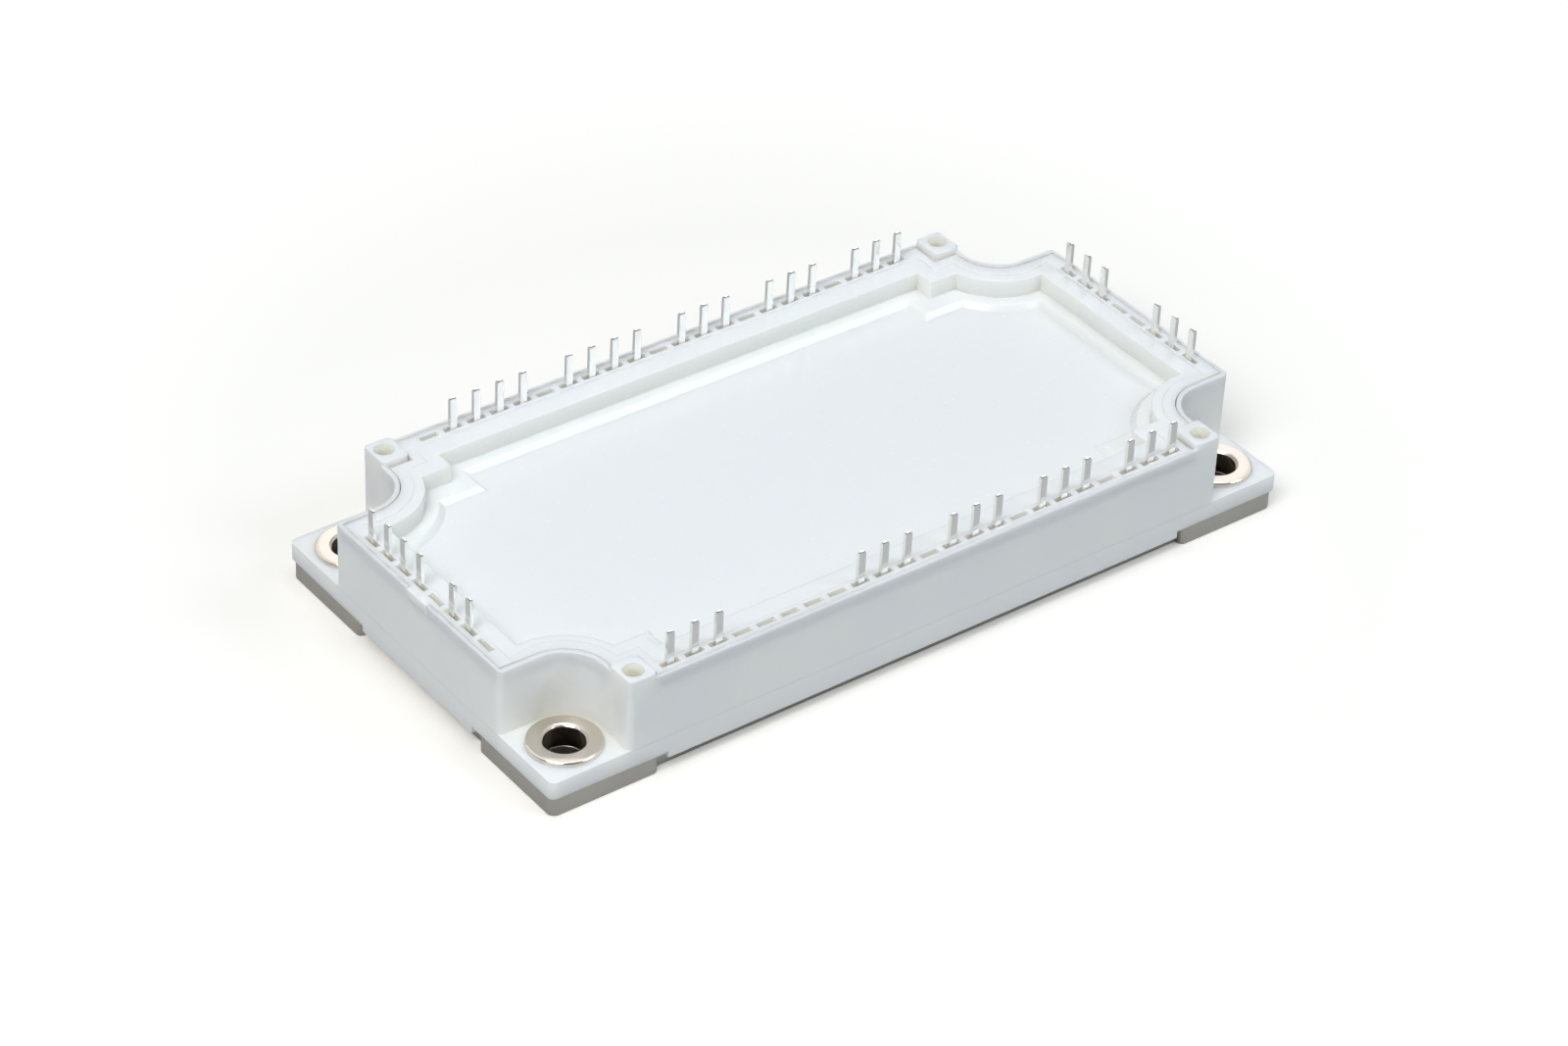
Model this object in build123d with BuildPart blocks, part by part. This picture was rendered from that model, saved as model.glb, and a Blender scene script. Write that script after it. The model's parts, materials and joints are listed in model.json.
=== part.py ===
"""Power transistor module: a moulded frame on a metal base plate, with rows of solder pins round a drop-in lid.

The origin is the middle of the base plate's underside. X runs along the long side and +Z is up.
The lid closes the frame; under it, chips on ceramic substrates lie in clear silicone gel.
"""
import os
from math import atan2, degrees

from build123d import *

os.makedirs("parts", exist_ok=True)

# Housing seen from above
housing_length = 122.3
housing_width = 62.3
mount_inset = 6.15           # from the housing's side to a mounting hole's centre: holes at 110 by 50
mount_hole_diameter = 5.5
pocket_radius = 5.65         # from a mounting hole's centre to the wall that curves round it
ear_corner_radius = 1.0
wall_edge_radius = 0.8       # upright edges where a wall or a post meets a pocket
top_edge_chamfer = 0.2

# Base plate
plate_thickness = 3.0
plate_ear_inset = 0.25       # how far the plate stays inside the housing at its four ears
plate_side_inset = 1.4       # the same between the ears
plate_ear_reach = 16.95      # how far an ear of the plate runs along each side
plate_corner_radius = 1.2
plate_ear_end_radius = 0.9

# Frame
ear_thickness = 2.75
wall_height = 12.9           # from the plate's top to the rim
skirt_overlap = 1.0          # the frame laps this far down over the plate's narrow sides
skirt_relief = 1.2           # gap along the side between a plate ear and the skirt
skirt_gap = 0.15
rim_wall = 0.6               # lip outside the lid along the sides
pocket_rim_wall = 0.75       # the same lip round the pockets

# Posts that carry the circuit board, one beside each pocket
post_length = 4.35
post_width = 4.95
post_rise = 0.8              # above the rim
post_edge_chamfer = 0.5
post_hole_diameter = 2.1
post_hole_depth = 9.0
post_funnel_diameter = 2.8
post_funnel_depth = 1.1
post_hole_inset_x = 2.0      # from the pocket's wall to the hole's centre
post_hole_inset_y = 2.2      # from the long side to the hole's centre

# Solder pins
pin_pitch = 3.81
pin_width = 1.1
pin_thickness = 0.6
pin_rise = 4.9               # above the rim
pin_tip_inset = 0.2
pin_tip_length = 0.7
pin_heel_chamfer = 0.35      # where a pin turns into its foot
pin_row_inset_x = 2.0        # from the short side to the pins' middle
pin_row_inset_y = 1.95
foot_height = 3.0            # from the plate's top to the top of a pin's foot
foot_margin = 0.25           # from a foot's end to the edge of the step that carries it
rear_places = 22
front_places = 23
side_places = 8
# each run of neighbouring pins is given by its first place and how many there are
rear_runs = ((1, 4), (6, 4), (11, 3), (15, 3), (19, 3))
front_runs = ((0, 3), (8, 3), (12, 3), (16, 3), (20, 3))
left_runs = ((1, 2), (4, 4))
right_runs = ((0, 3), (5, 3))

# Lid: a tray with a raised strip along its edge, a basin, a shelf in it and a sunken floor
lid_drop = 0.1               # the lid's top lies this far below the rim
lid_gap = 0.2                # round the lid's edge
pocket_lid_gap = 0.35        # round the pockets
post_gap = 0.3
lid_rim_thickness = 1.7
strip_inset = 2.85           # from the housing's side to the inner edge of the raised strip
strip_past_pocket = 2.65
strip_past_post = 1.7
strip_rise = 0.25
basin_inset_x = 5.35         # from the housing's side to the basin's wall
basin_inset_y = 5.9
basin_past_pocket = 4.1
basin_past_post = 4.0
basin_depth = 2.75           # from the band inside the strip down to the shelf
shelf_width = 1.5
shelf_width_at_post = 2.7
shelf_width_at_pocket = 1.85
ramp_run = 0.8
ramp_drop = 0.8
lid_wall = 1.3
lid_floor = 1.5
slot_length = 2.85
slot_width = 0.8
slot_offset = 0.05           # the slot's middle is this far outward from the pins' middle
lug_length = 4.6
lug_height = 1.6
lug_gap = 0.1

# Inside of the frame
ledge_gap = 0.4              # between the lid's basin wall and the frame's block
step_width = 2.5             # step that carries the pin feet, inward from the block
step_height = 2.7
glue_width = 1.0
glue_depth = 0.3
glue_inset = 0.6             # from the plate's edge or the pocket's wall to the glue groove

# Bushings
sleeve_diameter = 8.0
flange_diameter = 10.2
flange_top_diameter = 9.5
flange_height = 0.65
bore_chamfer = 0.4

# Substrates and what lies on them
substrate_inset_x = 13.65    # from the housing's short side to the end of the last substrate
substrate_inset_y = 11.15    # from its long side to a substrate's edge
substrate_gap = 2.0
substrate_splits = (-0.442, 0.299)    # middles of the two gaps, as shares of the reach
substrate_solder = 0.2
copper_thickness = 0.3
copper_margin = 0.8
ceramic_thickness = 0.4
track_gap = 0.8
pad_depth = 3.6              # copper pads along a substrate's edge, one for each run of pins
pad_margin = 0.9
emitter_pad_length = 6.8
chip_solder = 0.1
transistor_size = 6.8
transistor_thickness = 0.2
diode_size = 5.0
diode_thickness = 0.3
chip_margin = 3.0            # from an island's end to the nearest chip
chip_spacing = 3.2
chip_columns = (3, 4, 3)     # columns of chips on each substrate
thermistor_length = 3.2
thermistor_width = 1.6
thermistor_height = 0.9
thermistor_pad = 2.0
ribbon_width = 0.9
ribbon_thickness = 0.25
ribbon_foot = 0.8
ribbon_rise = 1.3            # from the higher foot to the top of a ribbon's arch
ribbon_climb = 0.4           # share of a ribbon's span where it climbs
ribbon_margin = 0.3          # from the end of a pin's foot to the ribbon on it
gel_height = 6.0             # above the plate's top

# Levels and edges that follow from these
half_length = housing_length / 2
half_width = housing_width / 2
mount_spacing_x = housing_length - 2 * mount_inset
mount_spacing_y = housing_width - 2 * mount_inset
pocket_x = mount_spacing_x / 2 - pocket_radius
pocket_y = mount_spacing_y / 2 - pocket_radius
plate_top = plate_thickness
ear_top = plate_top + ear_thickness
rim_top = plate_top + wall_height
post_top = rim_top + post_rise
pin_tip = rim_top + pin_rise
lid_top = rim_top - lid_drop
ledge_top = lid_top - lid_rim_thickness
post_inner_x = pocket_x - post_length
post_inner_y = half_width - post_width
post_spacing_x = pocket_x + post_inner_x
post_spacing_y = half_width + post_inner_y
pin_row_x = half_length - pin_row_inset_x
pin_row_y = half_width - pin_row_inset_y
foot_top = plate_top + foot_height
foot_bottom = foot_top - pin_thickness
band_top = lid_top - strip_rise
shelf_top = band_top - basin_depth
shelf_bottom = shelf_top - lid_floor
floor_top = shelf_top - ramp_drop
floor_bottom = floor_top - lid_floor
basin_x = half_length - basin_inset_x
basin_y = half_width - basin_inset_y
block_grow = lid_wall + ledge_gap
step_x = basin_x + block_grow - step_width
step_y = basin_y + block_grow - step_width
foot_length_x = pin_row_x - step_x - foot_margin
foot_length_y = pin_row_y - step_y - foot_margin


def housing_outline(inset=0.0, pocket_inset=0.0, edge_radius=0.0):
    """The walls seen from above: a rectangle with a rounded pocket round each mounting hole."""
    reach_x = pocket_x - pocket_inset
    reach_y = pocket_y - pocket_inset
    with BuildSketch() as outline:
        Rectangle(housing_length - 2 * inset, housing_width - 2 * inset)
        with GridLocations(housing_length, housing_width, 2, 2):
            Rectangle(2 * (half_length - reach_x), 2 * (half_width - reach_y), mode=Mode.SUBTRACT)
        corners = outline.vertices().filter_by(lambda v: abs(v.X) < reach_x + 0.01 and abs(v.Y) < reach_y + 0.01)
        fillet(corners, radius=pocket_radius + pocket_inset)
        if edge_radius > 0:
            ends = outline.vertices().filter_by(
                lambda v: abs(v.X) > half_length - inset - 0.01 or abs(v.Y) > half_width - inset - 0.01)
            fillet(ends, radius=edge_radius)
    return outline.sketch


def tray_outline(reach_x, reach_y, notch_x, notch_y, radius):
    """A rectangle that steps in round each post and curves in round each mounting hole."""
    with BuildSketch() as outline:
        Rectangle(2 * reach_x, 2 * reach_y)
        with GridLocations(mount_spacing_x / 2 + notch_x, half_width + notch_y, 2, 2):
            Rectangle(mount_spacing_x / 2 - notch_x, half_width - notch_y, mode=Mode.SUBTRACT)
        with GridLocations(mount_spacing_x, mount_spacing_y, 2, 2):
            Circle(radius, mode=Mode.SUBTRACT)
    return outline.sketch


def basin_outline(grow=0.0):
    """The basin's wall, moved outward by an amount."""
    return tray_outline(basin_x + grow, basin_y + grow,
                        post_inner_x - basin_past_post + grow, post_inner_y - basin_past_post + grow,
                        pocket_radius + basin_past_pocket - grow)


def shelf_outline(grow=0.0):
    """The inner edge of the basin's shelf, moved outward by an amount."""
    return tray_outline(basin_x - shelf_width + grow, basin_y - shelf_width + grow,
                        post_inner_x - basin_past_post - shelf_width_at_post + grow,
                        post_inner_y - basin_past_post - shelf_width_at_post + grow,
                        pocket_radius + basin_past_pocket + shelf_width_at_pocket - grow)


def strip_outline():
    """The inner edge of the raised strip that holds the pin slots."""
    return tray_outline(half_length - strip_inset, half_width - strip_inset,
                        post_inner_x - strip_past_post, post_inner_y - strip_past_post,
                        pocket_radius + strip_past_pocket)


def row_offsets(places):
    """Where the places of one pin row lie along it, centred."""
    return [(i - (places - 1) / 2) * pin_pitch for i in range(places)]


def finish(builder, name):
    """Label a finished piece and write its file."""
    builder.part.label = name
    export_step(builder.part, f"parts/{name}.step")


# Each row: the turn that points a pin's foot inward, the pins' places, its runs and the feet's length
rows = {
    "rear": (180, [(x, pin_row_y) for x in row_offsets(rear_places)], rear_runs, foot_length_y),
    "front": (0, [(x, -pin_row_y) for x in row_offsets(front_places)], front_runs, foot_length_y),
    "left": (-90, [(-pin_row_x, y) for y in row_offsets(side_places)], left_runs, foot_length_x),
    "right": (90, [(pin_row_x, y) for y in row_offsets(side_places)], right_runs, foot_length_x),
}

# Base plate: flat copper plate with four full-width ears, each with a mounting hole
plate_side_x = housing_length - 2 * plate_ear_reach
plate_side_y = housing_width - 2 * plate_ear_reach
plate_notch = 2 * (plate_side_inset - plate_ear_inset)
with BuildPart() as baseplate:
    with BuildSketch() as plate_sketch:
        Rectangle(housing_length - 2 * plate_ear_inset, housing_width - 2 * plate_ear_inset)
        fillet(plate_sketch.vertices(), radius=plate_corner_radius)
        with GridLocations(0, housing_width - 2 * plate_ear_inset, 1, 2):
            Rectangle(plate_side_x, plate_notch, mode=Mode.SUBTRACT)
        with GridLocations(housing_length - 2 * plate_ear_inset, 0, 2, 1):
            Rectangle(plate_notch, plate_side_y, mode=Mode.SUBTRACT)
        ear_ends = plate_sketch.vertices().filter_by(
            lambda v: (abs(abs(v.X) - plate_side_x / 2) < 0.01 and abs(v.Y) > half_width - plate_ear_inset - 0.01)
            or (abs(abs(v.Y) - plate_side_y / 2) < 0.01 and abs(v.X) > half_length - plate_ear_inset - 0.01))
        fillet(ear_ends, radius=plate_ear_end_radius)
        with GridLocations(mount_spacing_x, mount_spacing_y, 2, 2):
            Circle(mount_hole_diameter / 2, mode=Mode.SUBTRACT)
    extrude(amount=plate_thickness)
finish(baseplate, "baseplate")


def pin_solid(foot_length):
    """One stamped pin: a flat upright blade with a tapered tip, and a foot that is bent towards +Y."""
    with BuildPart() as pin:
        with BuildSketch(Plane.XY.offset(foot_bottom)):
            Rectangle(pin_width, pin_thickness)
        extrude(amount=pin_tip - pin_tip_length - foot_bottom)
        blade_end = pin.faces().sort_by(Axis.Z)[-1]
        extrude(blade_end, amount=pin_tip_length, taper=degrees(atan2(pin_tip_inset, pin_tip_length)))
        with BuildSketch(Plane.XY.offset(foot_bottom)):
            with Locations((0, (foot_length - pin_thickness / 2) / 2)):
                Rectangle(pin_width, foot_length + pin_thickness / 2)
        extrude(amount=pin_thickness)
        heel = pin.edges().filter_by(Axis.X).group_by(Axis.Z)[0].sort_by(Axis.Y)[0]
        chamfer(heel, length=pin_heel_chamfer)
    return pin.part


# Solder pins: tinned copper, moulded into the frame, one node for each run of neighbours
pin_groups = []
for side, (turn, places, runs, foot_length) in rows.items():
    blade = pin_solid(foot_length)
    for number, (first, count) in enumerate(runs, start=1):
        with BuildPart() as pins:
            with Locations(*[Location((x, y, 0), (0, 0, turn)) for x, y in places[first:first + count]]):
                add(blade)
        finish(pins, f"pins_{side}_{number}")
        pin_groups.append(pins.part)

# Frame: one moulding that stands on the plate, with ears, pockets, a ledge for the lid and posts
with BuildPart() as housing_frame:
    with BuildSketch(Plane.XY.offset(plate_top)) as ear_sketch:
        Rectangle(housing_length, housing_width)
        fillet(ear_sketch.vertices(), radius=ear_corner_radius)
    extrude(amount=ear_thickness)
    with BuildSketch(Plane.XY.offset(plate_top)):
        add(housing_outline(edge_radius=wall_edge_radius))
    extrude(amount=wall_height)
    chamfer(housing_frame.edges().group_by(Axis.Z)[-1], length=top_edge_chamfer)
    # skirt over the plate's narrow sides
    with BuildSketch(Plane.XY.offset(plate_top - skirt_overlap)):
        with GridLocations(0, housing_width, 1, 2):
            Rectangle(plate_side_x - 2 * skirt_relief, 2 * (plate_side_inset - skirt_gap))
        with GridLocations(housing_length, 0, 2, 1):
            Rectangle(2 * (plate_side_inset - skirt_gap), plate_side_y - 2 * skirt_relief)
        Rectangle(housing_length, housing_width, mode=Mode.INTERSECT)
    extrude(amount=skirt_overlap)
    # recess for the lid, then the well below its ledge
    with BuildSketch(Plane.XY.offset(ledge_top)):
        add(housing_outline(rim_wall, pocket_rim_wall))
    extrude(amount=rim_top - ledge_top, mode=Mode.SUBTRACT)
    with BuildSketch(Plane.XY.offset(plate_top)):
        add(basin_outline(block_grow))
    extrude(amount=ledge_top - plate_top, mode=Mode.SUBTRACT)
    # step that carries the pin feet
    with BuildSketch(Plane.XY.offset(plate_top)):
        add(basin_outline(block_grow))
        Rectangle(2 * step_x, 2 * step_y, mode=Mode.SUBTRACT)
    extrude(amount=step_height)
    # posts with a screw hole each
    with BuildSketch(Plane.XY.offset(ledge_top)) as post_sketch:
        with GridLocations(post_spacing_x, post_spacing_y, 2, 2):
            Rectangle(post_length, post_width)
        chamfer(post_sketch.vertices(), length=post_edge_chamfer)
    extrude(amount=post_top - ledge_top)
    chamfer(housing_frame.edges().group_by(Axis.Z)[-1], length=top_edge_chamfer)
    with Locations(Plane.XY.offset(post_top)):
        with GridLocations(2 * (pocket_x - post_hole_inset_x), 2 * (half_width - post_hole_inset_y), 2, 2):
            Hole(post_hole_diameter / 2, depth=post_hole_depth)
            Cone(post_hole_diameter / 2, post_funnel_diameter / 2, post_funnel_depth,
                 align=(Align.CENTER, Align.CENTER, Align.MAX), mode=Mode.SUBTRACT)
    # holes for the bushings, the notch for the lid's lug and the glue groove
    with BuildSketch(Plane.XY.offset(plate_top)):
        with GridLocations(mount_spacing_x, mount_spacing_y, 2, 2):
            Circle(sleeve_diameter / 2)
    extrude(amount=ear_thickness, mode=Mode.SUBTRACT)
    with BuildSketch(Plane.XY.offset(rim_top)):
        with Locations((-half_length, 0)):
            Rectangle(2 * rim_wall, lug_length + 2 * lug_gap)
    extrude(amount=-(lid_drop + lug_height + lug_gap), mode=Mode.SUBTRACT)
    glue_edge = plate_side_inset + glue_inset
    with BuildSketch(Plane.XY.offset(plate_top)) as glue_ring:
        add(housing_outline(glue_edge, glue_inset))
        add(housing_outline(glue_edge + glue_width, glue_inset + glue_width), mode=Mode.SUBTRACT)
    extrude(amount=glue_depth, mode=Mode.SUBTRACT)
    for group in pin_groups:
        add(group, mode=Mode.SUBTRACT)
finish(housing_frame, "housing_frame")

# Bead of silicone glue in the groove under the frame
with BuildPart() as glue_bead:
    add(glue_ring.sketch)
    extrude(amount=glue_depth)
finish(glue_bead, "glue_bead")

# Lid: drop-in tray that hangs from its rim on the frame's ledge
with BuildPart() as lid:
    with BuildSketch(Plane.XY.offset(ledge_top)):
        add(housing_outline(rim_wall + lid_gap, pocket_rim_wall + pocket_lid_gap))
        with GridLocations(post_spacing_x, post_spacing_y, 2, 2):
            Rectangle(post_length + 2 * post_gap, post_width + 2 * post_gap, mode=Mode.SUBTRACT)
        with Locations((-half_length + (rim_wall + lid_gap) / 2, 0)):
            Rectangle(rim_wall + lid_gap, lug_length)
    extrude(amount=lid_rim_thickness)
    with BuildSketch(Plane.XY.offset(shelf_bottom)):
        add(basin_outline(lid_wall))
    extrude(amount=ledge_top - shelf_bottom)
    with BuildSketch(Plane.XY.offset(floor_bottom)):
        add(shelf_outline(lid_wall))
    extrude(amount=shelf_bottom - floor_bottom)
    with BuildSketch(Plane.XY.offset(ledge_top)):
        with Locations((-half_length, 0)):
            Rectangle(2 * (rim_wall + lug_gap), lug_length)
    extrude(amount=lid_rim_thickness - lug_height, mode=Mode.SUBTRACT)
    # band inside the raised strip, basin, and the ramp down to the floor
    with BuildSketch(Plane.XY.offset(band_top)):
        add(strip_outline())
    extrude(amount=strip_rise, mode=Mode.SUBTRACT)
    with BuildSketch(Plane.XY.offset(shelf_top)):
        add(basin_outline())
    extrude(amount=basin_depth, mode=Mode.SUBTRACT)
    with BuildSketch(Plane.XY.offset(shelf_top)):
        add(shelf_outline())
    with BuildSketch(Plane.XY.offset(floor_top)):
        add(shelf_outline(-ramp_run))
    loft(ruled=True, mode=Mode.SUBTRACT)
    # slots for the pins, at every place of every row
    for turn, places, runs, foot_length in rows.values():
        with BuildSketch(Plane.XY.offset(lid_top)):
            for x, y in places:
                with Locations(Location((x, y, 0), (0, 0, turn))):
                    with Locations((0, -slot_offset)):
                        Rectangle(slot_length, slot_width)
        extrude(amount=-lid_rim_thickness, mode=Mode.SUBTRACT)
finish(lid, "lid")

# Bushings: steel sleeves pressed into the ears, with a flange for the screw's head
with BuildPart() as bushing:
    with BuildSketch(Plane.XZ):
        with BuildLine():
            Polyline((mount_hole_diameter / 2, plate_top), (sleeve_diameter / 2, plate_top),
                     (sleeve_diameter / 2, ear_top), (flange_diameter / 2, ear_top),
                     (flange_top_diameter / 2, ear_top + flange_height),
                     (mount_hole_diameter / 2, ear_top + flange_height), close=True)
        make_face()
    revolve(axis=Axis.Z)
    bore_edge = bushing.edges().filter_by(GeomType.CIRCLE).group_by(Axis.Z)[-1].sort_by(SortBy.RADIUS)[0]
    chamfer(bore_edge, length=bore_chamfer)
for end, sign_x in (("left", -1), ("right", 1)):
    for edge, sign_y in (("front", -1), ("rear", 1)):
        with BuildPart() as placed_bushing:
            with Locations((sign_x * mount_spacing_x / 2, sign_y * mount_spacing_y / 2)):
                add(bushing.part)
        finish(placed_bushing, f"bushing_{edge}_{end}")

# Ceramic substrates: three of them in a row, each with copper on both faces and soldered to the plate
substrate_reach_x = half_length - substrate_inset_x
substrate_width = housing_width - 2 * substrate_inset_y
solder_top = plate_top + substrate_solder
base_copper_top = solder_top + copper_thickness
ceramic_top = base_copper_top + ceramic_thickness
track_top = ceramic_top + copper_thickness
chip_base = track_top + chip_solder
copper_width = substrate_width - 2 * copper_margin
pad_y = copper_width / 2 - pad_depth / 2
island_top = copper_width / 2 - pad_depth - track_gap
island_bottom = -island_top + emitter_pad_length + track_gap
emitter_y = -island_top + emitter_pad_length / 2
substrate_ends = [-substrate_reach_x]
for split in substrate_splits:
    substrate_ends += [split * substrate_reach_x - substrate_gap / 2, split * substrate_reach_x + substrate_gap / 2]
substrate_ends.append(substrate_reach_x)
side_pad_x = substrate_reach_x - copper_margin - pad_depth / 2
inner_pieces = []


def layer(name, bottom, thickness, rectangles):
    """A flat layer made of separate rectangles, each given by its middle and its two lengths."""
    with BuildPart() as sheet:
        with BuildSketch(Plane.XY.offset(bottom)):
            for x, y, length, width in rectangles:
                with Locations((x, y)):
                    Rectangle(length, width)
        extrude(amount=thickness)
    finish(sheet, name)
    inner_pieces.append(sheet.part)


def run_pads(side, at, low, high):
    """The copper pads that lie across from one row's runs, between two places along that row."""
    pads = []
    turn, places, runs, foot_length = rows[side]
    along = 0 if side in ("rear", "front") else 1
    for first, count in runs:
        middle = (places[first][along] + places[first + count - 1][along]) / 2
        length = (count - 1) * pin_pitch + 2 * pad_margin
        if low < middle < high:
            pads.append((middle, at, length, pad_depth) if along == 0 else (at, middle, pad_depth, length))
    return pads


transistors = []
diodes = []
column_ribbons = []
for index, name in enumerate(("left", "middle", "right")):
    low, high = substrate_ends[2 * index:2 * index + 2]
    middle = (low + high) / 2
    length = high - low
    copper_length = length - 2 * copper_margin
    layer(f"substrate_solder_{name}", plate_top, substrate_solder, [(middle, 0, copper_length, copper_width)])
    layer(f"base_copper_{name}", solder_top, copper_thickness, [(middle, 0, copper_length, copper_width)])
    layer(f"ceramic_{name}", base_copper_top, ceramic_thickness, [(middle, 0, length, substrate_width)])
    tracks = run_pads("rear", pad_y, low, high) + run_pads("front", -pad_y, low, high)
    islands_low = low + copper_margin
    islands_high = high - copper_margin
    if name == "left":
        tracks += run_pads("left", -side_pad_x, -half_width, half_width)
        islands_low += pad_depth + track_gap
    if name == "right":
        tracks += run_pads("right", side_pad_x, -half_width, half_width)
        tracks += [(side_pad_x, sign * (track_gap + thermistor_pad / 2), pad_depth, thermistor_pad)
                   for sign in (-1, 1)]
        islands_high -= pad_depth + track_gap
    columns = chip_columns[index]
    column_pitch = (islands_high - islands_low + track_gap) / columns
    first_size = diode_size if name == "left" else transistor_size
    first_top = chip_base + (diode_thickness if name == "left" else transistor_thickness)
    first_y = island_top - chip_margin - first_size / 2
    second_y = first_y - first_size / 2 - chip_spacing - diode_size / 2
    for column in range(columns):
        x = islands_low + column_pitch * column + (column_pitch - track_gap) / 2
        tracks.append((x, (island_top + island_bottom) / 2, column_pitch - track_gap, island_top - island_bottom))
        tracks.append((x, emitter_y, column_pitch - track_gap, emitter_pad_length))
        chips = diodes if name == "left" else transistors
        chips.append((x, first_y, first_size, first_size))
        diodes.append((x, second_y, diode_size, diode_size))
        column_ribbons.append(((x, first_y, first_top), (x, second_y, chip_base + diode_thickness)))
        column_ribbons.append(((x, second_y, chip_base + diode_thickness), (x, emitter_y, track_top)))
    layer(f"tracks_{name}", ceramic_top, copper_thickness, tracks)

# Chips and the temperature sensor, with the solder under them
sensor_end = thermistor_length / 2 - track_gap
sensor_joints = [(side_pad_x, sign * (track_gap + sensor_end / 2), thermistor_width, sensor_end)
                 for sign in (-1, 1)]
layer("chip_solder", track_top, chip_solder, transistors + diodes + sensor_joints)
layer("transistor_chips", chip_base, transistor_thickness, transistors)
layer("diode_chips", chip_base, diode_thickness, diodes)
layer("thermistor", chip_base, thermistor_height, [(side_pad_x, 0, thermistor_width, thermistor_length)])


def ribbon_set(name, spans):
    """Bridged aluminium ribbons, each bonded flat at its two ends and given by the middles of its feet."""
    with BuildPart() as ribbons:
        for start, end in spans:
            reach = Vector(end[0] - start[0], end[1] - start[1], 0)
            way = reach.normalized()
            half_foot = ribbon_foot / 2
            far = reach.length - half_foot
            arch = max(start[2], end[2]) + ribbon_rise
            crown = half_foot + ribbon_climb * (far - half_foot)
            with BuildSketch(Plane((start[0], start[1], 0), x_dir=way, z_dir=way.cross(Vector(0, 0, 1)))):
                with BuildLine():
                    Polyline((-half_foot, start[2]), (half_foot, start[2]),
                             (crown, arch - ribbon_thickness), (far, end[2]), (far + ribbon_foot, end[2]),
                             (far + ribbon_foot, end[2] + ribbon_thickness), (far, end[2] + ribbon_thickness),
                             (crown, arch), (half_foot, start[2] + ribbon_thickness),
                             (-half_foot, start[2] + ribbon_thickness),
                             close=True)
                make_face()
            extrude(amount=ribbon_width / 2, both=True)
    finish(ribbons, name)
    inner_pieces.append(ribbons.part)


bond_x = step_x + foot_margin + ribbon_margin + ribbon_foot / 2
bond_y = step_y + foot_margin + ribbon_margin + ribbon_foot / 2
pin_spans = []
for side, (turn, places, runs, foot_length) in rows.items():
    for first, count in runs:
        for x, y in places[first:first + count]:
            if side in ("rear", "front"):
                sign = 1 if y > 0 else -1
                pin_spans.append(((x, sign * bond_y, foot_top), (x, sign * pad_y, track_top)))
            else:
                sign = 1 if x > 0 else -1
                pin_spans.append(((sign * bond_x, y, foot_top), (sign * side_pad_x, y, track_top)))
ribbon_set("pin_ribbons", pin_spans)
ribbon_set("chip_ribbons", column_ribbons)

# Clear silicone gel, poured in to cover the chips and ribbons
with BuildPart() as gel:
    with BuildSketch(Plane.XY.offset(plate_top)):
        add(basin_outline(block_grow))
    extrude(amount=gel_height)
    with BuildSketch(Plane.XY.offset(plate_top)):
        add(basin_outline(block_grow))
        Rectangle(2 * step_x, 2 * step_y, mode=Mode.SUBTRACT)
    extrude(amount=step_height, mode=Mode.SUBTRACT)
    for piece in pin_groups + inner_pieces:
        add(piece, mode=Mode.SUBTRACT)
finish(gel, "gel")
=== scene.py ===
"""Looks of a white power transistor module: its plastic, plating, solder pins and the hidden inside."""

import json
from math import copysign, radians

import bmesh
import bpy
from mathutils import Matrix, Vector


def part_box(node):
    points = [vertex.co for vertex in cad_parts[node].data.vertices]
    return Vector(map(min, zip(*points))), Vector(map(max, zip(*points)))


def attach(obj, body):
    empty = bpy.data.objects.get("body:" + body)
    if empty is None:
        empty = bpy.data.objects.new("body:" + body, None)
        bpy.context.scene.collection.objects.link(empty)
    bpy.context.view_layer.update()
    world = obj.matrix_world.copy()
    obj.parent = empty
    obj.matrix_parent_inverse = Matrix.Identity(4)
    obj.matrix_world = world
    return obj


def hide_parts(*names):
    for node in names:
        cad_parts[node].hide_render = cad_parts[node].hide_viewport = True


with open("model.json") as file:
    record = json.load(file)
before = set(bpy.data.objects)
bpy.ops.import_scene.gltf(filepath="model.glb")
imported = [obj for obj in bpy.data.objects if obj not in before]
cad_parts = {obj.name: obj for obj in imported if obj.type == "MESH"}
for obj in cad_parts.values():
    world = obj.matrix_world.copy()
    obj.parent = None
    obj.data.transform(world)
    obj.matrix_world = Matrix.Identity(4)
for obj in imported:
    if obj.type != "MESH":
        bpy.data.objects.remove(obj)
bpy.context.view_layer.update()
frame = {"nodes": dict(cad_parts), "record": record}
scene = bpy.context.scene
scene.view_settings.view_transform = "Standard"
mm = 0.001

# Camera: a long lens on the module's near corner, looking down at 36 degrees. Its place and turn are those that
# put the pin tips and the mounting holes where the photograph has them.
lens = 103.22
camera_place = (-0.31141, -0.38990, 0.36451)
camera_turn = (54.033, -2.353, -36.790)
camera_data = bpy.data.cameras.new("camera")
camera_data.lens = lens
camera_data.sensor_width = 36.0
camera_data.clip_start = 0.01
camera = bpy.data.objects.new("camera", camera_data)
camera.location = camera_place
camera.rotation_euler = [radians(angle) for angle in camera_turn]
scene.collection.objects.link(camera)
scene.camera = camera


# Studio: a plain pale floor under soft light from the sky, a wide lamp above and three soft boxes, the strongest
# on the left. The floor is white to the camera but keeps the module's shadow. Metal mirrors the floor as a pale
# grey, the white sweep ahead and beside it, and the dim room behind the camera.
def colour(code):
    """An sRGB hex colour as linear red, green, blue and alpha."""
    channels = [int(code[i:i + 2], 16) / 255 for i in (1, 3, 5)]
    return [c / 12.92 if c <= 0.04045 else ((c + 0.055) / 1.055) ** 2.4 for c in channels] + [1.0]


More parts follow.
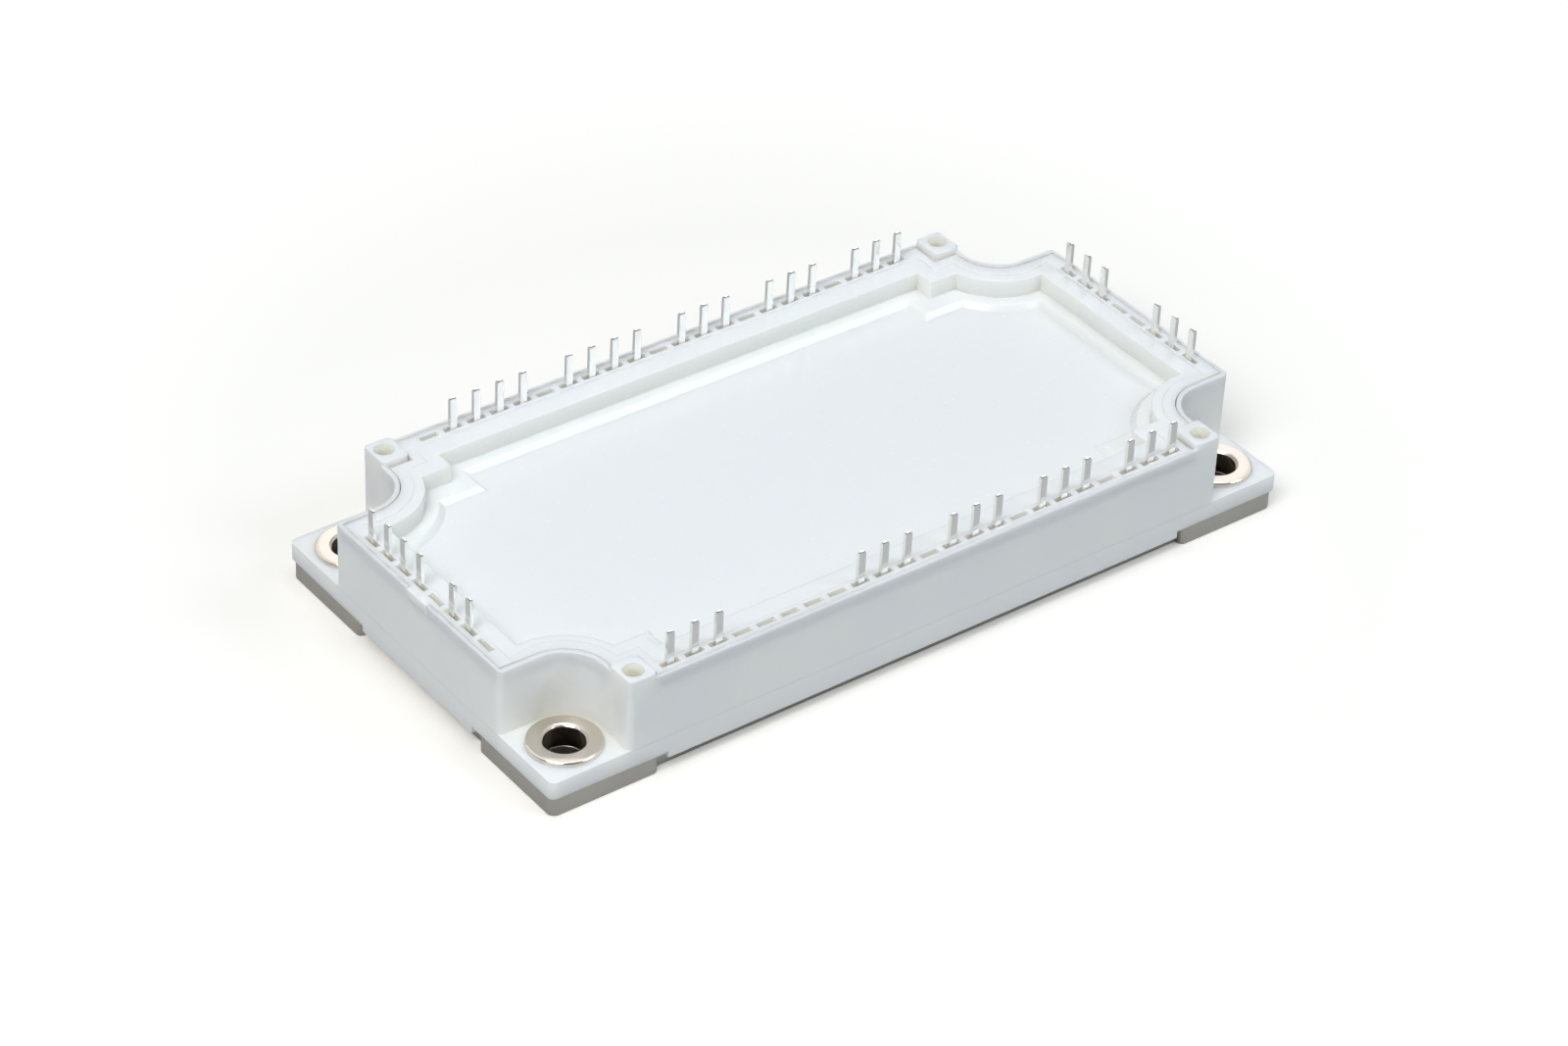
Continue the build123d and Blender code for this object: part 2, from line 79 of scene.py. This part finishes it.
def new_material(name):
    """A material with an empty node tree."""
    material = bpy.data.materials.new(name)
    material.use_nodes = True
    material.node_tree.nodes.clear()
    return material


def add_node(tree, kind, settings=None, links=None):
    """A node of a kind, with its attributes or socket values set and other nodes' outputs linked in."""
    node = tree.nodes.new(kind)
    for key, value in (settings or {}).items():
        if isinstance(key, str) and hasattr(node, key):
            setattr(node, key, value)
        else:
            node.inputs[key].default_value = value
    for key, output in (links or {}).items():
        tree.links.new(output, node.inputs[key])
    return node


floor_size = 3.0
screw_x, screw_y = 55 * mm, 25 * mm         # the mounting holes lie at plus and minus these
painted_hole_shade_radius = 4 * mm                   # under them the floor is painted dark, a painted shade that keeps the bores dark
glow_start, glow_end = 80 * mm, 420 * mm    # the floor's glow grows between these distances from the module
floor_mesh = bmesh.new()
bmesh.ops.create_grid(floor_mesh, x_segments=1, y_segments=1, size=floor_size / 2)
floor_data = bpy.data.meshes.new("floor")
floor_mesh.to_mesh(floor_data)
floor_mesh.free()
floor = bpy.data.objects.new("floor", floor_data)
scene.collection.objects.link(floor)
floor_paper = new_material("floor_paper")
tree = floor_paper.node_tree
path = add_node(tree, "ShaderNodeLightPath")
mirrored = add_node(tree, "ShaderNodeMixRGB", {"Color1": colour("#d2d1cd"), "Color2": colour("#c6c5c1")},
                    {"Fac": path.outputs["Is Glossy Ray"]})
seen = add_node(tree, "ShaderNodeMath", {"operation": "MAXIMUM"},
                {0: path.outputs["Is Camera Ray"], 1: path.outputs["Is Transmission Ray"]})
paper = add_node(tree, "ShaderNodeMixRGB", {"Color2": colour("#fffaf0")},
                 {"Fac": seen.outputs[0], "Color1": mirrored.outputs[0]})
place = add_node(tree, "ShaderNodeTexCoord")
quarter = add_node(tree, "ShaderNodeVectorMath", {"operation": "ABSOLUTE"}, {0: place.outputs["Object"]})
away = add_node(tree, "ShaderNodeVectorMath", {"operation": "DISTANCE", 1: (screw_x, screw_y, 0.0)},
                {0: quarter.outputs[0]})
# Painted shade: the floor under each mounting hole is a dark brown, so the bores look dark, and the glow leaves it
# out.
clear_of_hole_shade = add_node(tree, "ShaderNodeMath", {"operation": "GREATER_THAN", 1: painted_hole_shade_radius},
                      {0: away.outputs["Value"]})
painted_hole_shade = add_node(tree, "ShaderNodeMixRGB", {"Color1": colour("#16110a")},
                 {"Fac": clear_of_hole_shade.outputs[0], "Color2": paper.outputs[0]})
matt = add_node(tree, "ShaderNodeBsdfDiffuse", {}, {"Color": painted_hole_shade.outputs[0]})
glow_seen = add_node(tree, "ShaderNodeMath", {"operation": "MULTIPLY"},
                     {0: seen.outputs[0], 1: clear_of_hole_shade.outputs[0]})
far = add_node(tree, "ShaderNodeVectorMath", {"operation": "LENGTH"}, {0: place.outputs["Object"]})
fill = add_node(tree, "ShaderNodeMapRange", {"From Min": glow_start, "From Max": glow_end, "To Min": 0.11,
                                             "To Max": 0.81}, {"Value": far.outputs["Value"]})
glow_amount = add_node(tree, "ShaderNodeMath", {"operation": "MULTIPLY"},
                       {0: glow_seen.outputs[0], 1: fill.outputs[0]})
glow = add_node(tree, "ShaderNodeEmission", {"Color": colour("#ffffff")}, {"Strength": glow_amount.outputs[0]})
both = add_node(tree, "ShaderNodeAddShader", {}, {0: matt.outputs[0], 1: glow.outputs[0]})
add_node(tree, "ShaderNodeOutputMaterial", {}, {"Surface": both.outputs[0]})
floor_data.materials.append(floor_paper)

sky = bpy.data.worlds.new("studio_sky")
sky.use_nodes = True
sky.node_tree.nodes.clear()
tree = sky.node_tree
path = add_node(tree, "ShaderNodeLightPath")
direct = add_node(tree, "ShaderNodeMath", {"operation": "MAXIMUM"},
                  {0: path.outputs["Is Camera Ray"], 1: path.outputs["Is Transmission Ray"]})
seen = add_node(tree, "ShaderNodeMath", {"operation": "MAXIMUM"},
                {0: direct.outputs[0], 1: path.outputs["Is Glossy Ray"]})
way = add_node(tree, "ShaderNodeTexCoord")
split = add_node(tree, "ShaderNodeSeparateXYZ", {}, {0: way.outputs["Generated"]})
front = add_node(tree, "ShaderNodeMapRange", {"From Min": 0.3, "From Max": -0.9}, {"Value": split.outputs["Y"]})
tint = add_node(tree, "ShaderNodeMixRGB", {"Color1": colour("#eef4ff"), "Color2": colour("#e4efff")},
                {"Fac": front.outputs[0]})
soft = add_node(tree, "ShaderNodeBackground", {"Strength": 0.155}, {"Color": tint.outputs[0]})
room_side = (-0.62, -0.78, -0.6)            # the dim room lies this way, behind and below the camera
behind = add_node(tree, "ShaderNodeVectorMath", {"operation": "DOT_PRODUCT", 1: room_side},
                  {0: way.outputs["Generated"]})
room = add_node(tree, "ShaderNodeMapRange", {"From Min": -0.2, "From Max": 0.0, "To Min": 1.0, "To Max": 0.15},
                {"Value": behind.outputs["Value"]})
strength = add_node(tree, "ShaderNodeMath", {"operation": "MAXIMUM"}, {0: room.outputs[0], 1: direct.outputs[0]})
white = add_node(tree, "ShaderNodeBackground", {"Color": colour("#ffffff")}, {"Strength": strength.outputs[0]})
mixed = add_node(tree, "ShaderNodeMixShader", {}, {0: seen.outputs[0], 1: soft.outputs[0], 2: white.outputs[0]})
add_node(tree, "ShaderNodeOutputWorld", {}, {"Surface": mixed.outputs[0]})
scene.world = sky


def area_lamp(name, place, target, size, watts, code):
    """A square soft box that faces a target."""
    data = bpy.data.lights.new(name, "AREA")
    data.shape = "SQUARE"
    data.size = size
    data.energy = watts
    data.color = colour(code)[:3]
    lamp = bpy.data.objects.new(name, data)
    lamp.location = place
    lamp.rotation_euler = (Vector(target) - Vector(place)).to_track_quat("-Z", "Y").to_euler()
    scene.collection.objects.link(lamp)


area_lamp("top_box", (0.0, 0.0, 1.2), (0.0, 0.0, 0.0), 0.8, 4.5, "#f4f9ff")
area_lamp("left_box", (-0.7, -0.3, 0.95), (0.0, 0.0, 0.01), 0.6, 8.2, "#f5f9ff")
area_lamp("front_box", (0.60, -0.72, 0.76), (0.0, 0.0, 0.01), 0.45, 3.35, "#e2efff")
area_lamp("rear_box", (0.6, 0.76, 0.7), (0.0, 0.0, 0.01), 0.6, 0.43, "#ebf3ff")


# Base plate: copper, 3 mm thick, punched to shape and nickel plated. The plating is satin and a little warm,
# with fine upright marks where the punch sheared the edge.
weld_distance = 0.002 * mm
flat_turn = radians(0.4)     # faces that turn by less than this are one flat face
crisp_turn = radians(50)     # edges that turn by more than this stay crisp


def merged_copy(node):
    """A bmesh of a CAD node with its loose triangles joined into whole flat faces."""
    shape = bmesh.new()
    shape.from_mesh(frame["nodes"][node].data)
    bmesh.ops.remove_doubles(shape, verts=shape.verts, dist=weld_distance)
    bmesh.ops.dissolve_limit(shape, angle_limit=flat_turn, verts=shape.verts, edges=shape.edges,
                             use_dissolve_boundaries=False)
    return shape


def round_edges(shape, width, angle, lowest=-1.0, kept=()):
    """Rounds the edges of a bmesh that turn by more than an angle, above a height. Edges at tiny faces, and those
    to be kept as they are, stay sharp."""
    tiny_area = 0.05 * mm * mm
    tiny = {vert for face in shape.faces if face.calc_area() < tiny_area for vert in face.verts}
    sharp = [edge for edge in shape.edges if edge.is_manifold and edge not in kept
             and edge.calc_face_angle(0.0) > radians(angle) and min(vert.co.z for vert in edge.verts) > lowest
             and not tiny.intersection(edge.verts)]
    bmesh.ops.bevel(shape, geom=sharp, offset=width, offset_type="OFFSET", segments=2, profile=0.5,
                    affect="EDGES", clamp_overlap=False, material=-1, miter_outer="SHARP")
    return shape


def place_piece(shape, name, material, node):
    """Makes a bmesh a piece of the module that stands for a CAD node."""
    data = bpy.data.meshes.new(name)
    for face in shape.faces:
        face.smooth = True
    for edge in shape.edges:
        edge.smooth = edge.is_manifold and edge.calc_face_angle(0.0) < crisp_turn
    shape.to_mesh(data)
    shape.free()
    data.materials.append(material)
    piece = bpy.data.objects.new(name, data)
    scene.collection.objects.link(piece)
    piece.modifiers.new("flat_faces", "WEIGHTED_NORMAL").keep_sharp = True
    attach(piece, "root")
    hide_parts(node)


def plated_metal(name, light, dark, grain, stretch, roughness, depth):
    """A plated metal: its colour drifts between two tones, and a grain breaks up the gloss, drawn out where its
    stretch is below 1. Real plating's grain is too fine to show, so it is drawn as coarse as it needs to be."""
    material = new_material(name)
    tree = material.node_tree
    place = add_node(tree, "ShaderNodeTexCoord")
    turned = add_node(tree, "ShaderNodeMapping", {"Scale": stretch}, {"Vector": place.outputs["Object"]})
    cloud = add_node(tree, "ShaderNodeTexNoise", {"Scale": 1 / (6 * mm), "Detail": 3.0},
                     {"Vector": place.outputs["Object"]})
    fine = add_node(tree, "ShaderNodeTexNoise", {"Scale": 1 / grain, "Detail": 4.0, "Roughness": 0.6},
                    {"Vector": turned.outputs[0]})
    tone = add_node(tree, "ShaderNodeMixRGB", {"Color1": colour(light), "Color2": colour(dark)},
                    {"Fac": cloud.outputs["Fac"]})
    gloss = add_node(tree, "ShaderNodeMapRange", {"From Min": 0.3, "From Max": 0.7, "To Min": roughness[0],
                                                  "To Max": roughness[1]}, {"Value": fine.outputs["Fac"]})
    relief = add_node(tree, "ShaderNodeBump", {"Strength": 0.25, "Distance": depth}, {"Height": fine.outputs["Fac"]})
    metal = add_node(tree, "ShaderNodeBsdfPrincipled", {"Metallic": 1.0},
                     {"Base Color": tone.outputs[0], "Roughness": gloss.outputs[0], "Normal": relief.outputs[0]})
    add_node(tree, "ShaderNodeOutputMaterial", {}, {"Surface": metal.outputs[0]})
    return material


plate_nickel = plated_metal("satin_nickel_plating", "#cbc7bf", "#bfbbb3", grain=0.25 * mm,
                            stretch=(1.0, 1.0, 0.25), roughness=(0.34, 0.5), depth=0.01 * mm)
place_piece(round_edges(merged_copy("baseplate"), width=0.12 * mm, angle=35), "base_plate", plate_nickel,
            "baseplate")


# Housing frame: one moulding of white glass-filled polyester. It is semi-gloss, with a soft mottle where the
# glass lies near the skin, and a faint flash line at the level of the ears where the mould opened. The screw
# holes in its posts are painted cream, a painted tint for the light deep in them.
ear_top = 5.75 * mm
flash_line = 5.6 * mm
skirt_end = 2.5 * mm         # the edges of the skirt below this stay sharp against the plate
post_hole = (47.35 * mm, 28.95 * mm)
post_hole_radius = 1.36 * mm
post_hole_mouth = 16.65 * mm


def moulded_plastic(name, light, dark, roughness, is_frame=False):
    """White glass-filled polyester: slow flow clouds and a fine fibre mottle. Deep in the slots and seams a cream
    tint is painted in, for the light that has passed through the plastic many times. The frame also has a flash
    line, and the same painted cream fills its post holes."""
    material = new_material(name)
    tree = material.node_tree
    place = add_node(tree, "ShaderNodeTexCoord")
    flow = add_node(tree, "ShaderNodeTexNoise", {"Scale": 1 / (22 * mm), "Detail": 2.0, "Distortion": 0.6},
                    {"Vector": place.outputs["Object"]})
    fibre = add_node(tree, "ShaderNodeTexNoise", {"Scale": 1 / (0.5 * mm), "Detail": 3.0, "Roughness": 0.55},
                     {"Vector": place.outputs["Object"]})
    tone = add_node(tree, "ShaderNodeMixRGB", {"Color1": colour(light), "Color2": colour(dark)},
                    {"Fac": flow.outputs["Fac"]})
    gloss = add_node(tree, "ShaderNodeMapRange", {"From Min": 0.3, "From Max": 0.7, "To Min": roughness[0],
                                                  "To Max": roughness[1]}, {"Value": fibre.outputs["Fac"]})
    relief = add_node(tree, "ShaderNodeBump", {"Strength": 0.12, "Distance": 0.02 * mm},
                      {"Height": fibre.outputs["Fac"]})
    normal = relief.outputs[0]
    if is_frame:
        split = add_node(tree, "ShaderNodeSeparateXYZ", {}, {0: place.outputs["Object"]})
        above = add_node(tree, "ShaderNodeMath", {"operation": "SUBTRACT", 1: flash_line}, {0: split.outputs["Z"]})
        away = add_node(tree, "ShaderNodeMath", {"operation": "ABSOLUTE"}, {0: above.outputs[0]})
        ridge = add_node(tree, "ShaderNodeMapRange", {"From Min": 0.0, "From Max": 0.12 * mm, "To Min": 1.0,
                                                      "To Max": 0.0}, {"Value": away.outputs[0]})
        flash = add_node(tree, "ShaderNodeBump", {"Strength": 0.5, "Distance": 0.04 * mm},
                         {"Height": ridge.outputs[0], "Normal": normal})
        normal = flash.outputs[0]
        thread = add_node(tree, "ShaderNodeMath", {"operation": "MULTIPLY", 1: 0.3}, {0: ridge.outputs[0]})
        tone = add_node(tree, "ShaderNodeMixRGB", {"Color2": colour("#b9b8b1")},
                        {"Fac": thread.outputs[0], "Color1": tone.outputs[0]})
    # Painted light: where ambient occlusion finds a recess, the plastic is painted cream, for the light that has
    # passed through it many times.
    painted_recess_occlusion = add_node(tree, "ShaderNodeAmbientOcclusion", {"samples": 6, "Distance": 2.4 * mm})
    depth = add_node(tree, "ShaderNodeMapRange", {"From Min": 0.5, "From Max": 0.15},
                     {"Value": painted_recess_occlusion.outputs["AO"]})
    if is_frame:
        # The frame's post holes are painted the same cream all the way down.
        flat = add_node(tree, "ShaderNodeVectorMath", {"operation": "MULTIPLY", 1: (1.0, 1.0, 0.0)},
                        {0: place.outputs["Object"]})
        quarter = add_node(tree, "ShaderNodeVectorMath", {"operation": "ABSOLUTE"}, {0: flat.outputs[0]})
        away = add_node(tree, "ShaderNodeVectorMath", {"operation": "DISTANCE", 1: (*post_hole, 0.0)},
                        {0: quarter.outputs[0]})
        within = add_node(tree, "ShaderNodeMath", {"operation": "LESS_THAN", 1: post_hole_radius},
                          {0: away.outputs["Value"]})
        below = add_node(tree, "ShaderNodeMath", {"operation": "LESS_THAN", 1: post_hole_mouth},
                         {0: split.outputs["Z"]})
        painted_bore_cream = add_node(tree, "ShaderNodeMath", {"operation": "MULTIPLY"},
                               {0: within.outputs[0], 1: below.outputs[0]})
        depth = add_node(tree, "ShaderNodeMath", {"operation": "MAXIMUM"},
                         {0: depth.outputs[0], 1: painted_bore_cream.outputs[0]})
    tone = add_node(tree, "ShaderNodeMixRGB", {"Color2": colour("#faf5e4")},
                    {"Fac": depth.outputs[0], "Color1": tone.outputs[0]})
    plastic = add_node(tree, "ShaderNodeBsdfPrincipled",
                       {"IOR": 1.55, "Subsurface Weight": 0.8, "Subsurface Radius": (1.0, 0.96, 0.84),
                        "Subsurface Scale": 2.2 * mm},
                       {"Base Color": tone.outputs[0], "Roughness": gloss.outputs[0], "Normal": normal})
    add_node(tree, "ShaderNodeOutputMaterial", {}, {"Surface": plastic.outputs[0]})
    return material


frame_plastic = moulded_plastic("moulded_white_polyester", "#fbfaf2", "#f8f7ee", roughness=(0.34, 0.44),
                                is_frame=True)
frame_shape = merged_copy("housing_frame")
ear_creases = {edge for edge in frame_shape.edges if edge.is_manifold and not edge.is_convex
               and all(abs(vert.co.z - ear_top) < 0.05 * mm for vert in edge.verts)}
place_piece(round_edges(frame_shape, width=0.1 * mm, angle=60, lowest=skirt_end, kept=ear_creases),
            "moulded_frame", frame_plastic, "housing_frame")


# Lid: a drop-in tray of the same polyester from a polished mould, so its floor mirrors the pins faintly.
# It hangs from its rim on the frame's ledge, and its slots let the pins through.
lid_sides = ((0, 60.2 * mm, 60.6 * mm), (1, 30.2 * mm, 30.6 * mm))    # axis, and where the rim's side lies
pocket_side = (6.6 * mm, 6.9 * mm)    # how far from a screw's axis the rim's arcs lie
side_play = 0.12 * mm
pocket_play = 0.2 * mm
lid_inside = 11.9 * mm       # edges below this are hidden and stay sharp


def close_seam(shape):
    """Spreads the lid's rim towards the frame, so that the seam round it is as fine as on the moulding, and
    returns the edges along it."""
    moved = set()
    for vert in shape.verts:
        for axis, inner, outer in lid_sides:
            if inner < abs(vert.co[axis]) < outer:
                vert.co[axis] += copysign(side_play, vert.co[axis])
                moved.add(vert)
        screw = Vector((copysign(screw_x, vert.co.x), copysign(screw_y, vert.co.y), vert.co.z))
        reach = (vert.co - screw).length
        if pocket_side[0] < reach < pocket_side[1]:
            vert.co = screw + (vert.co - screw) * (reach - pocket_play) / reach
            moved.add(vert)
    return {edge for edge in shape.edges if moved.issuperset(edge.verts)}


lid_plastic = moulded_plastic("polished_white_polyester", "#fbfaf1", "#f9f8ee", roughness=(0.18, 0.28))
lid_shape = merged_copy("lid")
seam = close_seam(lid_shape)
place_piece(round_edges(lid_shape, width=0.12 * mm, angle=35, lowest=lid_inside, kept=seam), "drop_in_lid",
            lid_plastic, "lid")


# Bushings: turned steel sleeves, bright nickel plated, pressed into the ears. The flange under the screw's head
# has a chamfered rim, and a chamfer leads into the bore, where the bright crescents are.
bushing_profile = [(2.75, 3.0), (2.75, 6.1), (3.15, 6.4), (4.78, 6.4), (5.02, 6.2), (5.1, 5.75), (4.0, 5.75),
                   (4.0, 3.0)]    # radii and heights in mm


def turned_piece(profile, middle, steps):
    """Spins a closed profile round an upright axis."""
    shape = bmesh.new()
    ring = [shape.verts.new((radius * mm, 0.0, height * mm)) for radius, height in profile]
    edges = [shape.edges.new((ring[i - 1], ring[i])) for i in range(len(ring))]
    bmesh.ops.spin(shape, geom=ring + edges, cent=(0, 0, 0), axis=(0, 0, 1), angle=radians(360), steps=steps,
                   use_merge=True)
    bmesh.ops.remove_doubles(shape, verts=shape.verts, dist=weld_distance)
    bmesh.ops.recalc_face_normals(shape, faces=shape.faces)
    bmesh.ops.translate(shape, verts=shape.verts, vec=middle)
    return shape


bushing_nickel = plated_metal("bright_nickel_on_steel", "#ebe2d6", "#dbd2c6", grain=0.2 * mm,
                              stretch=(1.0, 1.0, 1.0), roughness=(0.14, 0.2), depth=0.001 * mm)
for end in ("left", "right"):
    for edge in ("front", "rear"):
        node = f"bushing_{edge}_{end}"
        low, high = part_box(node)
        middle = ((low[0] + high[0]) / 2, (low[1] + high[1]) / 2, 0.0)
        sleeve = turned_piece(bushing_profile, middle, steps=96)
        place_piece(round_edges(sleeve, width=0.05 * mm, angle=25), f"turned_{node}", bushing_nickel,
                    node)


# Solder pins: blades stamped from copper strip, 1.1 mm by 0.6 mm, with a blunt tapered tip and tin plating all
# over. Each stands on a foot that is bonded under the lid. The tin is bright, streaked along the strip.
solid_taper = 20.1 * mm      # where the solids' tips begin to taper
blunt_taper = 20.43 * mm


def blunt_tips(shape):
    """Shortens the taper of each pin in a run."""
    for vert in shape.verts:
        if abs(vert.co.z - solid_taper) < 0.1 * mm:
            vert.co.z = blunt_taper
    return shape


pin_tin = plated_metal("tin_on_copper", "#fbf9f5", "#e9e8e4", grain=0.3 * mm, stretch=(1.0, 1.0, 0.2),
                       roughness=(0.12, 0.24), depth=0.01 * mm)
for side, runs in (("rear", 5), ("front", 5), ("left", 2), ("right", 2)):
    for run in range(1, runs + 1):
        node = f"pins_{side}_{run}"
        blades = blunt_tips(merged_copy(node))
        place_piece(round_edges(blades, width=0.06 * mm, angle=40), f"stamped_{node}", pin_tin, node)


# Inside, under the lid, seen only when the module is opened, so the pieces keep the solids' own meshes: matt
# ceramic with copper foil bonded to it, dull reflowed solder, glossy grey chips, bright aluminium ribbons, and
# clear silicone over it all.
def plain_finish(name, light, dark, cloud_size, metallic, roughness, settings=None):
    """A hidden piece's finish: two close tones in soft clouds of a real size."""
    material = new_material(name)
    tree = material.node_tree
    place = add_node(tree, "ShaderNodeTexCoord")
    cloud = add_node(tree, "ShaderNodeTexNoise", {"Scale": 1 / cloud_size, "Detail": 3.0},
                     {"Vector": place.outputs["Object"]})
    tone = add_node(tree, "ShaderNodeMixRGB", {"Color1": colour(light), "Color2": colour(dark)},
                    {"Fac": cloud.outputs["Fac"]})
    values = {"Metallic": metallic, "Roughness": roughness}
    values.update(settings or {})
    body = add_node(tree, "ShaderNodeBsdfPrincipled", values, {"Base Color": tone.outputs[0]})
    add_node(tree, "ShaderNodeOutputMaterial", {}, {"Surface": body.outputs[0]})
    return material


inside = {
    "substrate_ceramic": plain_finish("fired_alumina", "#f1eee6", "#e6e2d8", 0.8 * mm, 0.0, 0.5),
    "substrate_copper": plain_finish("bonded_copper_foil", "#c98a63", "#b6764f", 1.5 * mm, 1.0, 0.38),
    "solder": plain_finish("reflowed_tin_solder", "#b4b5b6", "#9c9ea0", 1.0 * mm, 1.0, 0.42),
    "silicon": plain_finish("metallised_silicon", "#5c6068", "#4c5058", 2.0 * mm, 0.6, 0.25),
    "sensor_ceramic": plain_finish("sintered_sensor_ceramic", "#3a3b3d", "#2d2e30", 0.3 * mm, 0.0, 0.6),
    "ribbon_aluminium": plain_finish("bright_rolled_aluminium", "#d6d8da", "#c3c5c8", 0.6 * mm, 1.0, 0.3),
    "silicone_gel": plain_finish("clear_silicone_gel", "#eef1f2", "#e6eaec", 5.0 * mm, 0.0, 0.12,
                                 {"Transmission Weight": 0.85, "IOR": 1.41}),
    "silicone_glue": plain_finish("cured_silicone_glue", "#d9d8d2", "#cccbc4", 1.0 * mm, 0.0, 0.55),
}
for part in frame["record"]["subparts"]:
    if part["material_slot"] in inside:
        solid = frame["nodes"][part["node"]].data
        solid.materials.clear()
        solid.materials.append(inside[part["material_slot"]])
